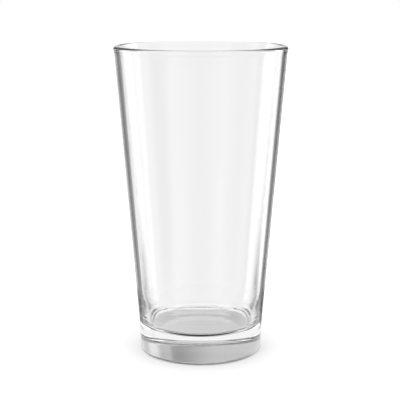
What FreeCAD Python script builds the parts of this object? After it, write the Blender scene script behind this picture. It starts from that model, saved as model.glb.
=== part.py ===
import FreeCAD, Part
import math
import os

# A bar mixing glass: one revolved piece of clear glass, standing on its base ring.
# Millimetres, +Z up, origin at the centre of the base in the plane it stands on.

# Overall
HEIGHT = 152.0
RIM_RADIUS = 42.4           # widest point of the rim bead
FOOT_RADIUS = 30.25         # side of the base, carried down to the table

# Outer wall: a plain cone above the base band
BAND_TOP_RADIUS = 31.1
BAND_TOP_HEIGHT = 16.2
BAND_BLEND = 40.0           # soft change of slope between the band and the cone
BEAD_PROUD = 0.43           # how far the rim bead stands out from the cone

# Glass thickness, measured level from the outer cone
RIM_WALL = 2.65
HIP_WALL = 3.15             # where the wall starts to thicken towards the floor
LOW_WALL = 4.3              # where the wall line meets the sloping shoulder of the floor

# Rim bead
BEAD_HEIGHT = 3.4           # height of the swelling, down from the crest
CREST_RADIUS = 1.3
BEAD_NECK_BLEND = 3.0

# Inside: the wall turns in over a round shoulder to a flat disc of floor
FLOOR_HEIGHT = 13.45        # thickness of the base at the edge of the disc
FLOOR_CROWN = 0.1           # the disc rises this much at the axis
FLOOR_RADIUS = 24.25
FLOOR_EDGE_BLEND = 0.7
SHOULDER_SLOPE = 22.0       # degrees from level, where the shoulder meets the disc
SHOULDER_RADIUS = 4.4
HIP_HEIGHT = 28.0
HIP_BLEND = 60.0

# Underside: a small heel rises to the side of the base from the ring that the glass stands on
HEEL_REACH = 2.4
HEEL_RISE = 1.1
HEEL_BLEND = 0.75
RING_BLEND = 5.5
RING_INNER_RADIUS = 22.5    # inner edge of the flat ring
PUNT_DEPTH = 0.4            # the hollow inside the ring


def point(radius, height):
    return FreeCAD.Vector(radius, 0, height)


def cone_radius(height):
    """Outer radius of the conical wall at a height."""
    top_height = HEIGHT - BEAD_HEIGHT
    slope = (RIM_RADIUS - BEAD_PROUD - BAND_TOP_RADIUS) / (top_height - BAND_TOP_HEIGHT)
    return BAND_TOP_RADIUS + slope * (height - BAND_TOP_HEIGHT)


def domed_arc(rise_height, edge_radius, edge_height):
    """Arc level at the axis, from (0, rise_height) out to the edge point."""
    rise = rise_height - edge_height
    sphere = (edge_radius ** 2 + rise ** 2) / (2 * rise)
    half_angle = math.asin(edge_radius / sphere) / 2
    middle = point(sphere * math.sin(half_angle), rise_height - sphere * (1 - math.cos(half_angle)))
    return Part.Arc(point(0, rise_height), middle, point(edge_radius, edge_height)).toShape()


def fillet_points(before, corner, after, radius):
    """Start, middle and end of the arc that rounds a corner between two straight runs."""
    to_before = (before - corner).normalize()
    to_after = (after - corner).normalize()
    half_turn = to_before.getAngle(to_after) / 2
    reach = radius / math.tan(half_turn)
    bisector = (to_before + to_after).normalize()
    middle = corner + bisector * (radius / math.sin(half_turn) - radius)
    return corner + to_before * reach, middle, corner + to_after * reach


def rounded_run(start, corners, end):
    """Straight edges from start to end through the corners, each rounded by its own radius."""
    places = [start] + [place for place, radius in corners] + [end]
    edges = []
    here = start
    for index, (corner, radius) in enumerate(corners):
        first, middle, last = fillet_points(places[index], corner, places[index + 2], radius)
        edges.append(Part.LineSegment(here, first).toShape())
        edges.append(Part.Arc(first, middle, last).toShape())
        here = last
    edges.append(Part.LineSegment(here, end).toShape())
    return edges


def shoulder_corner():
    """Where the wall line, carried down, meets the slope that rises from the edge of the floor disc."""
    slope = math.tan(math.radians(SHOULDER_SLOPE))
    radius = cone_radius(FLOOR_HEIGHT) - LOW_WALL
    return point(radius, FLOOR_HEIGHT + (radius - FLOOR_RADIUS) * slope)


def wall_outline():
    """From the standing ring, up the outside, over the rim and down the inside to the floor."""
    neck_height = HEIGHT - BEAD_HEIGHT
    inner_top = RIM_RADIUS - BEAD_PROUD - RIM_WALL
    corners = [
        (point(FOOT_RADIUS - HEEL_REACH, 0), RING_BLEND),
        (point(FOOT_RADIUS, HEEL_RISE), HEEL_BLEND),
        (point(BAND_TOP_RADIUS, BAND_TOP_HEIGHT), BAND_BLEND),
        (point(cone_radius(neck_height), neck_height), BEAD_NECK_BLEND),
        (point(RIM_RADIUS, HEIGHT - BEAD_HEIGHT / 2), BEAD_NECK_BLEND),
        (point(RIM_RADIUS, HEIGHT), CREST_RADIUS),
        (point(inner_top, HEIGHT), CREST_RADIUS),
        (point(cone_radius(HIP_HEIGHT) - HIP_WALL, HIP_HEIGHT), HIP_BLEND),
        (shoulder_corner(), SHOULDER_RADIUS),
        (point(FLOOR_RADIUS, FLOOR_HEIGHT), FLOOR_EDGE_BLEND),
    ]
    floor_edge = point(FLOOR_RADIUS - FLOOR_EDGE_BLEND, FLOOR_HEIGHT)
    return rounded_run(point(RING_INNER_RADIUS, 0), corners, floor_edge)


def glass_body():
    """The whole glass as one solid of revolution."""
    outline = wall_outline()
    floor_edge = outline[-1].Vertexes[-1].Point
    crown = domed_arc(FLOOR_HEIGHT + FLOOR_CROWN, floor_edge.x, FLOOR_HEIGHT)
    punt = domed_arc(PUNT_DEPTH, RING_INNER_RADIUS, 0)
    axis = Part.LineSegment(point(0, PUNT_DEPTH), point(0, FLOOR_HEIGHT + FLOOR_CROWN)).toShape()
    section = Part.Face(Part.Wire(Part.__sortEdges__([punt, axis, crown] + outline)))
    return section.revolve(FreeCAD.Vector(0, 0, 0), FreeCAD.Vector(0, 0, 1), 360)


def main():
    os.makedirs("parts", exist_ok=True)
    body = glass_body()
    body.exportStep("parts/glass_body.step")
    print("glass_body", body.ShapeType, body.isValid(), round(body.Volume), body.BoundBox)


main()
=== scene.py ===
import math

import bmesh
import bpy
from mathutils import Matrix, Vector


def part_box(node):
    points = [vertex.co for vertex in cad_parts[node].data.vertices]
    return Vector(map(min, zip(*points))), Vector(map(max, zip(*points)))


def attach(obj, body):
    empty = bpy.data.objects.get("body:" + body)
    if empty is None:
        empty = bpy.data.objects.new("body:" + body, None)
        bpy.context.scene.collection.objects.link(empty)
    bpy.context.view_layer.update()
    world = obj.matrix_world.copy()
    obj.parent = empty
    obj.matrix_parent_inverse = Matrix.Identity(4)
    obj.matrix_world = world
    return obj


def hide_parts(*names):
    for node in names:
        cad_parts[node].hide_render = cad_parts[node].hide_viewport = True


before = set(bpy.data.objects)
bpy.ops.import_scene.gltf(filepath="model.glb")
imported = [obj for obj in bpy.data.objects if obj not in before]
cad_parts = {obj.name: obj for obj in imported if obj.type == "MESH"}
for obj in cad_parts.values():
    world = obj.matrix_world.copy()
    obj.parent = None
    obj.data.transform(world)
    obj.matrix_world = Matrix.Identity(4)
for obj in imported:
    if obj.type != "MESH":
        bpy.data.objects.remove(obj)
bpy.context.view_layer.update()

MM = 0.001

# The glass, repeated from its design, in metres. Overall sizes come from the frame.
BODY_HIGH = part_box("glass_body")[1]
HEIGHT = BODY_HIGH.z
RIM_RADIUS = BODY_HIGH.x
FOOT_RADIUS = 30.25 * MM
BAND_TOP_RADIUS = 31.1 * MM
BAND_TOP_HEIGHT = 16.2 * MM
BAND_BLEND = 40.0 * MM
BEAD_PROUD = 0.43 * MM
BEAD_HEIGHT = 3.4 * MM
BEAD_NECK_BLEND = 3.0 * MM
CREST_RADIUS = 1.3 * MM
RIM_WALL = 2.65 * MM
HIP_WALL = 3.15 * MM
HIP_HEIGHT = 28.0 * MM
HIP_BLEND = 60.0 * MM
LOW_WALL = 4.3 * MM
FLOOR_HEIGHT = 13.45 * MM
FLOOR_CROWN = 0.1 * MM
FLOOR_RADIUS = 24.25 * MM
FLOOR_EDGE_BLEND = 0.7 * MM
SHOULDER_SLOPE = math.radians(22)
SHOULDER_RADIUS = 4.4 * MM
HEEL_REACH = 2.4 * MM
HEEL_RISE = 1.1 * MM
HEEL_BLEND = 0.75 * MM
RING_BLEND = 5.5 * MM
RING_INNER_RADIUS = 22.5 * MM
PUNT_DEPTH = 0.4 * MM

# Faint ripples low on the inner wall, too fine for the CAD model: deepest at the bottom
RIPPLE_DEPTH = 0.008 * MM
RIPPLE_LENGTH = 2.2 * MM
RIPPLE_LOW = 17.0 * MM
RIPPLE_HIGH = 45.0 * MM

# How finely the mesh follows that shape
OUTSIDE_CORNERS = 6         # rounded corners before the inner one of the rim
ARC_STEP = math.radians(6)
DOME_STEPS = 24
RIPPLE_STEP = 0.35 * MM
SEGMENTS = 256

# The glass itself, its slow swell, and the patchy scuffs on the ring that it stands on
GLASS_IOR = 1.52
HAZE_GREY = 0.5
HAZE_DENSITY = 2.0
SWELL_HEIGHT = 0.02 * MM
SWELL_SIZE = 14 * MM
SWELL_DETAIL = 1
POLISHED = 0.0
SCUFFED = 0.12
SCUFF_HALF_WIDTH = 2.0 * MM
SCUFF_HEIGHT = 0.2 * MM
SCUFF_SIZE = 1.5 * MM
SCUFF_DETAIL = 6
PATCH_LEVEL = 0.5
PATCH_SOFTNESS = 0.2

# Camera, at the photograph's viewing angle: distance from the glass's axis, height, downward tilt, and
# a slight turn to the left. The lens and its sensor are in millimetres, as on a real camera.
CAMERA_DISTANCE = 542.1 * MM
CAMERA_HEIGHT = 185.0 * MM
CAMERA_TILT = math.radians(11.40)
CAMERA_PAN = math.radians(0.04)
LENS = 100.1
SENSOR_WIDTH = 36
CLIP_START = 10 * MM

# The wide pale floor, just under the glass
STAGE_GAP = 0.1 * MM
STAGE_RADIUS = 3000 * MM
STAGE_SEGMENTS = 128
STAGE_GREY = 0.9
STAGE_ROUGHNESS = 0.8
STAGE_SPECULAR = 0.1

# A small light table, seen only through the glass and in its reflections. It is dimmer under the glass,
# with painted shade, and a painted shadow darkens it from a little in front of the axis forwards.
TABLE_RADIUS = 50 * MM
TABLE_GLOW = 1.0
# Painted shade under the glass, then the painted shadow in front: its brightness, where it starts, its
# reach and its edge
UNDER_GLASS_PAINTED_SHADE = 0.69
SHADE_GLOW = 0.0
SHADE_START = 16 * MM
SHADE_RADIUS = 29.5 * MM
SHADE_EDGE = 1 * MM

# The studio is a pale tent with soft panels and dark flags in it, painted over one another in this order.
# Each has a name, the compass angle of its middle (0 is behind the glass, + is to its right), half its
# width, its lowest and highest elevation, the softness of its sides (all in degrees), and its brightness.
# The values are rounded. They began as a least-squares fit of the light from each direction to the
# photograph, merged into panels, and were then changed after trial renders.
TENT_LEVEL = 0.85
PANELS = [
    ("rear flag", 180, 25, -90, 11, 60, 0.50),
    ("left flag", -29, 12, -32, 11, 6, 0.20),
    ("right flag", 26, 11, -32, 11, 10, 0.08),
    ("backdrop", 0, 15, -90, 11, 12, 0.95),
    ("left softbox", -60, 10, -19, 11, 8, 2.10),
    ("right softbox", 59, 15, -19, 11, 10, 2.30),
    ("left edge flag", -77, 6, -26, 11, 5, 0.25),
    ("low left flag", -72, 10, -46, -26, 5, 0.20),
    ("left side flag", -120, 14, -24, 11, 20, 0.30),
    ("right side flag", 108, 12, -90, 11, 20, 0.50),
    ("upper tent", 0, 180, 11, 50, 4, 0.15),
    ("upper backdrop", 0, 75, 11, 50, 4, 0.56),
    ("upper flag", 15, 12, 11, 50, 30, 0.30),
    ("upper card", 44, 23, 11, 50, 3, 0.50),
    ("upper softbox", 42, 8, 11, 50, 8, 0.80),
    ("overhead softbox", 0, 180, 46, 134, 6, 0.80),
]
PANEL_TOP_SOFTNESS = 5      # of every panel's top and bottom edge, in degrees
FLOOR_LIGHT = 1.6           # the even light that the floor gets, whatever the panels are
WHITE_BACKGROUND = 1.0      # what the camera sees in place of the tent

# Enough bounces for light to get through both walls and the thick base
BOUNCES = 32
GLOSSY_BOUNCES = 16


# The outline, as (radius, height) points

def arc_points(centre, radius, start, end):
    """Points on an arc from angle start to angle end, both ends included."""
    count = max(2, math.ceil(abs(end - start) / ARC_STEP))
    angles = [start + (end - start) * i / count for i in range(count + 1)]
    return [(centre[0] + radius * math.cos(a), centre[1] + radius * math.sin(a)) for a in angles]


def rounded_corner(before, corner, after, radius):
    """Points on the arc that rounds a corner between two straight runs."""
    angle_in = math.atan2(corner[1] - before[1], corner[0] - before[0])
    angle_out = math.atan2(after[1] - corner[1], after[0] - corner[0])
    turn = (angle_out - angle_in + math.pi) % (2 * math.pi) - math.pi
    side = math.copysign(1, turn)
    reach = radius * math.tan(abs(turn) / 2)
    start = (corner[0] - reach * math.cos(angle_in), corner[1] - reach * math.sin(angle_in))
    centre = (start[0] - side * radius * math.sin(angle_in), start[1] + side * radius * math.cos(angle_in))
    first = angle_in - side * math.pi / 2
    return arc_points(centre, radius, first, first + turn)


def dome_points(rise_height, edge_radius, edge_height):
    """Points from (0, rise_height) out to the edge along an arc that is level at the axis."""
    rise = rise_height - edge_height
    sphere = (edge_radius ** 2 + rise ** 2) / (2 * rise)
    half_angle = math.asin(edge_radius / sphere)
    angles = [half_angle * i / DOME_STEPS for i in range(DOME_STEPS + 1)]
    return [(sphere * math.sin(a), rise_height - sphere * (1 - math.cos(a))) for a in angles]


def cone_radius(height):
    """Outer radius of the conical wall at a height."""
    top_height = HEIGHT - BEAD_HEIGHT
    slope = (RIM_RADIUS - BEAD_PROUD - BAND_TOP_RADIUS) / (top_height - BAND_TOP_HEIGHT)
    return BAND_TOP_RADIUS + slope * (height - BAND_TOP_HEIGHT)


def ripple(height):
    """How far the inner wall waves in or out at a height: most at the bottom, fading upwards."""
    fade = (RIPPLE_HIGH - height) / (RIPPLE_HIGH - RIPPLE_LOW)
    if not 0 < fade < 1:
        return 0
    return RIPPLE_DEPTH * fade ** 2 * math.sin(2 * math.pi * (height - RIPPLE_LOW) / RIPPLE_LENGTH)


def rippled(points):
    """The inner wall's points from the rim down, with close rings added where it is rippled."""
    rings = []
    for (radius, height), (next_radius, next_height) in zip(points, points[1:]):
        top = min(height, RIPPLE_HIGH)
        bottom = max(next_height, RIPPLE_LOW)
        count = max(0, math.ceil((top - bottom) / RIPPLE_STEP))
        heights = [height] + [top - (top - bottom) * step / count for step in range(1, count)]
        for here in heights:
            part = (height - here) / (height - next_height)
            rings.append((radius + (next_radius - radius) * part + ripple(here), here))
    return rings + [points[-1]]


def glass_corners():
    """The outline's corners, each with the radius that rounds it. Its two ends have none."""
    neck_height = HEIGHT - BEAD_HEIGHT
    shoulder = cone_radius(FLOOR_HEIGHT) - LOW_WALL
    shoulder_rise = (shoulder - FLOOR_RADIUS) * math.tan(SHOULDER_SLOPE)
    return [
        ((RING_INNER_RADIUS, 0), None),
        ((FOOT_RADIUS - HEEL_REACH, 0), RING_BLEND),
        ((FOOT_RADIUS, HEEL_RISE), HEEL_BLEND),
        ((BAND_TOP_RADIUS, BAND_TOP_HEIGHT), BAND_BLEND),
        ((cone_radius(neck_height), neck_height), BEAD_NECK_BLEND),
        ((RIM_RADIUS, HEIGHT - BEAD_HEIGHT / 2), BEAD_NECK_BLEND),
        ((RIM_RADIUS, HEIGHT), CREST_RADIUS),
        ((RIM_RADIUS - BEAD_PROUD - RIM_WALL, HEIGHT), CREST_RADIUS),
        ((cone_radius(HIP_HEIGHT) - HIP_WALL, HIP_HEIGHT), HIP_BLEND),
        ((shoulder, FLOOR_HEIGHT + shoulder_rise), SHOULDER_RADIUS),
        ((FLOOR_RADIUS, FLOOR_HEIGHT), FLOOR_EDGE_BLEND),
        ((FLOOR_RADIUS - FLOOR_EDGE_BLEND, FLOOR_HEIGHT), None),
    ]


def glass_outline():
    """Points from the underside's centre, round the outside and down the inside, to the floor's centre."""
    places = glass_corners()
    turns = [
        rounded_corner(before, corner, after, radius)
        for (before, _), (corner, radius), (after, _) in zip(places, places[1:], places[2:])
    ]
    punt = dome_points(PUNT_DEPTH, RING_INNER_RADIUS, 0)
    outer_wall = sum(turns[:OUTSIDE_CORNERS], punt)
    inner_wall = rippled(sum(turns[OUTSIDE_CORNERS:], []))
    crown = dome_points(FLOOR_HEIGHT + FLOOR_CROWN, FLOOR_RADIUS - FLOOR_EDGE_BLEND, FLOOR_HEIGHT)
    return outer_wall + inner_wall + crown[::-1]


def lathe(name, outline):
    """A closed mesh: the outline turned about the vertical axis, from pole to pole."""
    first, *rings, last = outline
    vertices = [(0, 0, first[1])]
    for radius, height in rings:
        for step in range(SEGMENTS):
            angle = 2 * math.pi * step / SEGMENTS
            vertices.append((radius * math.cos(angle), radius * math.sin(angle), height))
    vertices.append((0, 0, last[1]))
    top = len(vertices) - 1
    faces = []
    for step in range(SEGMENTS):
        following = (step + 1) % SEGMENTS
        faces.append((0, 1 + following, 1 + step))
        for ring in range(len(rings) - 1):
            low = 1 + ring * SEGMENTS
            high = low + SEGMENTS
            faces.append((low + step, low + following, high + following, high + step))
        faces.append((top, top - SEGMENTS + step, top - SEGMENTS + following))
    mesh = bpy.data.meshes.new(name)
    mesh.from_pydata(vertices, [], faces)
    mesh.shade_smooth()
    piece = bpy.data.objects.new(name, mesh)
    bpy.context.scene.collection.objects.link(piece)
    return piece


# Shader nodes

def feed(tree, socket, value):
    """Give a socket its value, which is a number or another node's output."""
    if isinstance(value, bpy.types.NodeSocket):
        tree.links.new(value, socket)
    else:
        socket.default_value = value


def math_node(tree, operation, *values):
    """A Math node's output; each value is a number or another node's output."""
    node = tree.nodes.new("ShaderNodeMath")
    node.operation = operation
    for socket, value in zip(node.inputs, values):
        feed(tree, socket, value)
    return node.outputs[0]


def mix(tree, factor, first, second):
    """first where the factor is 0, second where it is 1."""
    node = tree.nodes.new("ShaderNodeMix")
    node.data_type = "FLOAT"
    for socket, value in zip(node.inputs[:1] + node.inputs[2:4], (factor, first, second)):
        feed(tree, socket, value)
    return node.outputs[0]


def inside(tree, distance, half_width, softness):
    """1 where the distance is within the half width, fading to 0 over the soft edge."""
    node = tree.nodes.new("ShaderNodeMapRange")
    node.interpolation_type = "SMOOTHSTEP"
    node.inputs["From Min"].default_value = half_width + softness / 2
    node.inputs["From Max"].default_value = half_width - softness / 2
    tree.links.new(distance, node.inputs["Value"])
    return node.outputs[0]


def split_axes(tree, vector):
    """A vector's x, y and z."""
    node = tree.nodes.new("ShaderNodeSeparateXYZ")
    tree.links.new(vector, node.inputs[0])
    return node.outputs


def off_axis(tree, x, y):
    """Distance from the glass's upright axis."""
    flat = tree.nodes.new("ShaderNodeCombineXYZ")
    tree.links.new(x, flat.inputs["X"])
    tree.links.new(y, flat.inputs["Y"])
    length = tree.nodes.new("ShaderNodeVectorMath")
    length.operation = "LENGTH"
    tree.links.new(flat.outputs[0], length.inputs[0])
    return length.outputs["Value"]


def noise(tree, place, size, detail):
    """A noise pattern whose bumps are about the given size across."""
    node = tree.nodes.new("ShaderNodeTexNoise")
    node.inputs["Scale"].default_value = 1 / size
    node.inputs["Detail"].default_value = detail
    tree.links.new(place, node.inputs["Vector"])
    return node.outputs["Fac"]


def grey(level):
    return (level, level, level, 1)


# The glass

def scuffing(tree, place):
    """Roughness: polished glass, with patchy fine scuffs on the ring that rubs on the table."""
    x, y, z = split_axes(tree, place)
    ring_middle = (RING_INNER_RADIUS + FOOT_RADIUS - HEEL_REACH) / 2
    from_middle = math_node(tree, "SUBTRACT", off_axis(tree, x, y), ring_middle)
    on_ring = inside(tree, math_node(tree, "ABSOLUTE", from_middle), SCUFF_HALF_WIDTH, SCUFF_HALF_WIDTH)
    at_table = inside(tree, z, SCUFF_HEIGHT, SCUFF_HEIGHT)
    patches = inside(tree, noise(tree, place, SCUFF_SIZE, SCUFF_DETAIL), PATCH_LEVEL, PATCH_SOFTNESS)
    where = math_node(tree, "MULTIPLY", on_ring, math_node(tree, "MULTIPLY", at_table, patches))
    return mix(tree, where, POLISHED, SCUFFED)


def waviness(tree, place):
    """Normal: the slow, barely visible swell of fire-polished glass."""
    bump = tree.nodes.new("ShaderNodeBump")
    bump.inputs["Strength"].default_value = 1
    bump.inputs["Distance"].default_value = SWELL_HEIGHT
    tree.links.new(noise(tree, place, SWELL_SIZE, SWELL_DETAIL), bump.inputs["Height"])
    return bump.outputs["Normal"]


def glass_material():
    """Clear soda-lime glass with a grey, very slight absorption."""
    material = bpy.data.materials.new("clear_glass")
    material.use_nodes = True
    tree = material.node_tree
    shader = tree.nodes["Principled BSDF"]
    shader.inputs["Base Color"].default_value = grey(1)
    shader.inputs["Transmission Weight"].default_value = 1
    shader.inputs["IOR"].default_value = GLASS_IOR
    place = tree.nodes.new("ShaderNodeTexCoord").outputs["Object"]
    tree.links.new(scuffing(tree, place), shader.inputs["Roughness"])
    tree.links.new(waviness(tree, place), shader.inputs["Normal"])
    haze = tree.nodes.new("ShaderNodeVolumeAbsorption")
    haze.inputs["Color"].default_value = grey(HAZE_GREY)
    haze.inputs["Density"].default_value = HAZE_DENSITY
    tree.links.new(haze.outputs["Volume"], tree.nodes["Material Output"].inputs["Volume"])
    return material


def glass_piece():
    """The whole glass as one fine mesh, which stands for the CAD body."""
    body = lathe("glass_body_fine", glass_outline())
    body.data.materials.append(glass_material())
    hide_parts("glass_body")
    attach(body, "root")


# The studio

def floor_material():
    """A pale, nearly matt surface."""
    material = bpy.data.materials.new("pale_floor")
    material.use_nodes = True
    shader = material.node_tree.nodes["Principled BSDF"]
    shader.inputs["Base Color"].default_value = grey(STAGE_GREY)
    shader.inputs["Roughness"].default_value = STAGE_ROUGHNESS
    shader.inputs["Specular IOR Level"].default_value = STAGE_SPECULAR
    return material


def light_table_material():
    """An even glow, dimmer with painted shade inside the ring that the glass stands on, and dark with a
    painted shadow at the front of it.
    """
    material = bpy.data.materials.new("light_table")
    material.use_nodes = True
    tree = material.node_tree
    tree.nodes.clear()
    x, y, _ = split_axes(tree, tree.nodes.new("ShaderNodeNewGeometry").outputs["Position"])
    radius = off_axis(tree, x, y)
    # Painted shade: the glow is dimmer inside the ring that the glass stands on
    under = inside(tree, radius, FOOT_RADIUS - HEEL_REACH, SHADE_EDGE)
    glow = mix(tree, under, TABLE_GLOW, UNDER_GLASS_PAINTED_SHADE)
    # Painted shadow: dark from a little in front of the axis forwards, out to the shadow's radius
    within = inside(tree, radius, SHADE_RADIUS, SHADE_EDGE)
    in_front = inside(tree, y, -SHADE_START, SHADE_EDGE)
    shade = math_node(tree, "MULTIPLY", within, in_front)
    emission = tree.nodes.new("ShaderNodeEmission")
    tree.links.new(mix(tree, shade, glow, SHADE_GLOW), emission.inputs["Strength"])
    output = tree.nodes.new("ShaderNodeOutputMaterial")
    tree.links.new(emission.outputs[0], output.inputs["Surface"])
    return material


def disc(name, radius, material):
    """A flat disc just under the glass, part of the stage."""
    mesh = bpy.data.meshes.new(name)
    builder = bmesh.new()
    bmesh.ops.create_circle(builder, cap_ends=True, segments=STAGE_SEGMENTS, radius=radius)
    builder.to_mesh(mesh)
    builder.free()
    mesh.materials.append(material)
    piece = bpy.data.objects.new(name, mesh)
    piece.location.z = -STAGE_GAP
    bpy.context.scene.collection.objects.link(piece)
    return piece


def studio_floor():
    """The pale floor, and the light table that takes its place for what is seen through the glass."""
    floor = disc("floor", STAGE_RADIUS, floor_material())
    floor.visible_transmission = False
    floor.visible_glossy = False
    table = disc("light_table", TABLE_RADIUS, light_table_material())
    table.visible_camera = False
    table.visible_diffuse = False
    table.visible_shadow = False


def studio_world():
    """Soft panels round the glass; the camera sees plain white, and the floor gets even light."""
    world = bpy.data.worlds.new("studio")
    bpy.context.scene.world = world
    world.use_nodes = True
    tree = world.node_tree
    across, ahead, up = split_axes(tree, tree.nodes.new("ShaderNodeTexCoord").outputs["Generated"])
    compass = math_node(tree, "DEGREES", math_node(tree, "ARCTAN2", across, ahead))
    elevation = math_node(tree, "DEGREES", math_node(tree, "ARCSINE", up))
    level = TENT_LEVEL
    for name, middle, half_width, low, high, softness, brightness in PANELS:
        turn = math_node(tree, "WRAP", math_node(tree, "SUBTRACT", compass, middle), 180, -180)
        sideways = inside(tree, math_node(tree, "ABSOLUTE", turn), half_width, softness)
        climb = math_node(tree, "SUBTRACT", elevation, (low + high) / 2)
        upward = inside(tree, math_node(tree, "ABSOLUTE", climb), (high - low) / 2, PANEL_TOP_SOFTNESS)
        level = mix(tree, math_node(tree, "MULTIPLY", sideways, upward), level, brightness)
        level.node.label = name
    rays = tree.nodes.new("ShaderNodeLightPath")
    level = mix(tree, rays.outputs["Is Diffuse Ray"], level, FLOOR_LIGHT)
    level = mix(tree, rays.outputs["Is Camera Ray"], level, WHITE_BACKGROUND)
    tree.links.new(level, tree.nodes["Background"].inputs["Color"])


def studio_camera():
    """A long lens in front of the glass, looking a little down at it."""
    data = bpy.data.cameras.new("camera")
    data.lens = LENS
    data.sensor_width = SENSOR_WIDTH
    data.clip_start = CLIP_START
    camera = bpy.data.objects.new("camera", data)
    camera.location = (0, -CAMERA_DISTANCE, CAMERA_HEIGHT)
    camera.rotation_euler = (math.radians(90) - CAMERA_TILT, 0, CAMERA_PAN)
    bpy.context.scene.collection.objects.link(camera)
    bpy.context.scene.camera = camera


glass_piece()
studio_floor()
studio_world()
studio_camera()

scene = bpy.context.scene
scene.view_settings.view_transform = "Standard"
scene.cycles.max_bounces = BOUNCES
scene.cycles.transmission_bounces = BOUNCES
scene.cycles.glossy_bounces = GLOSSY_BOUNCES
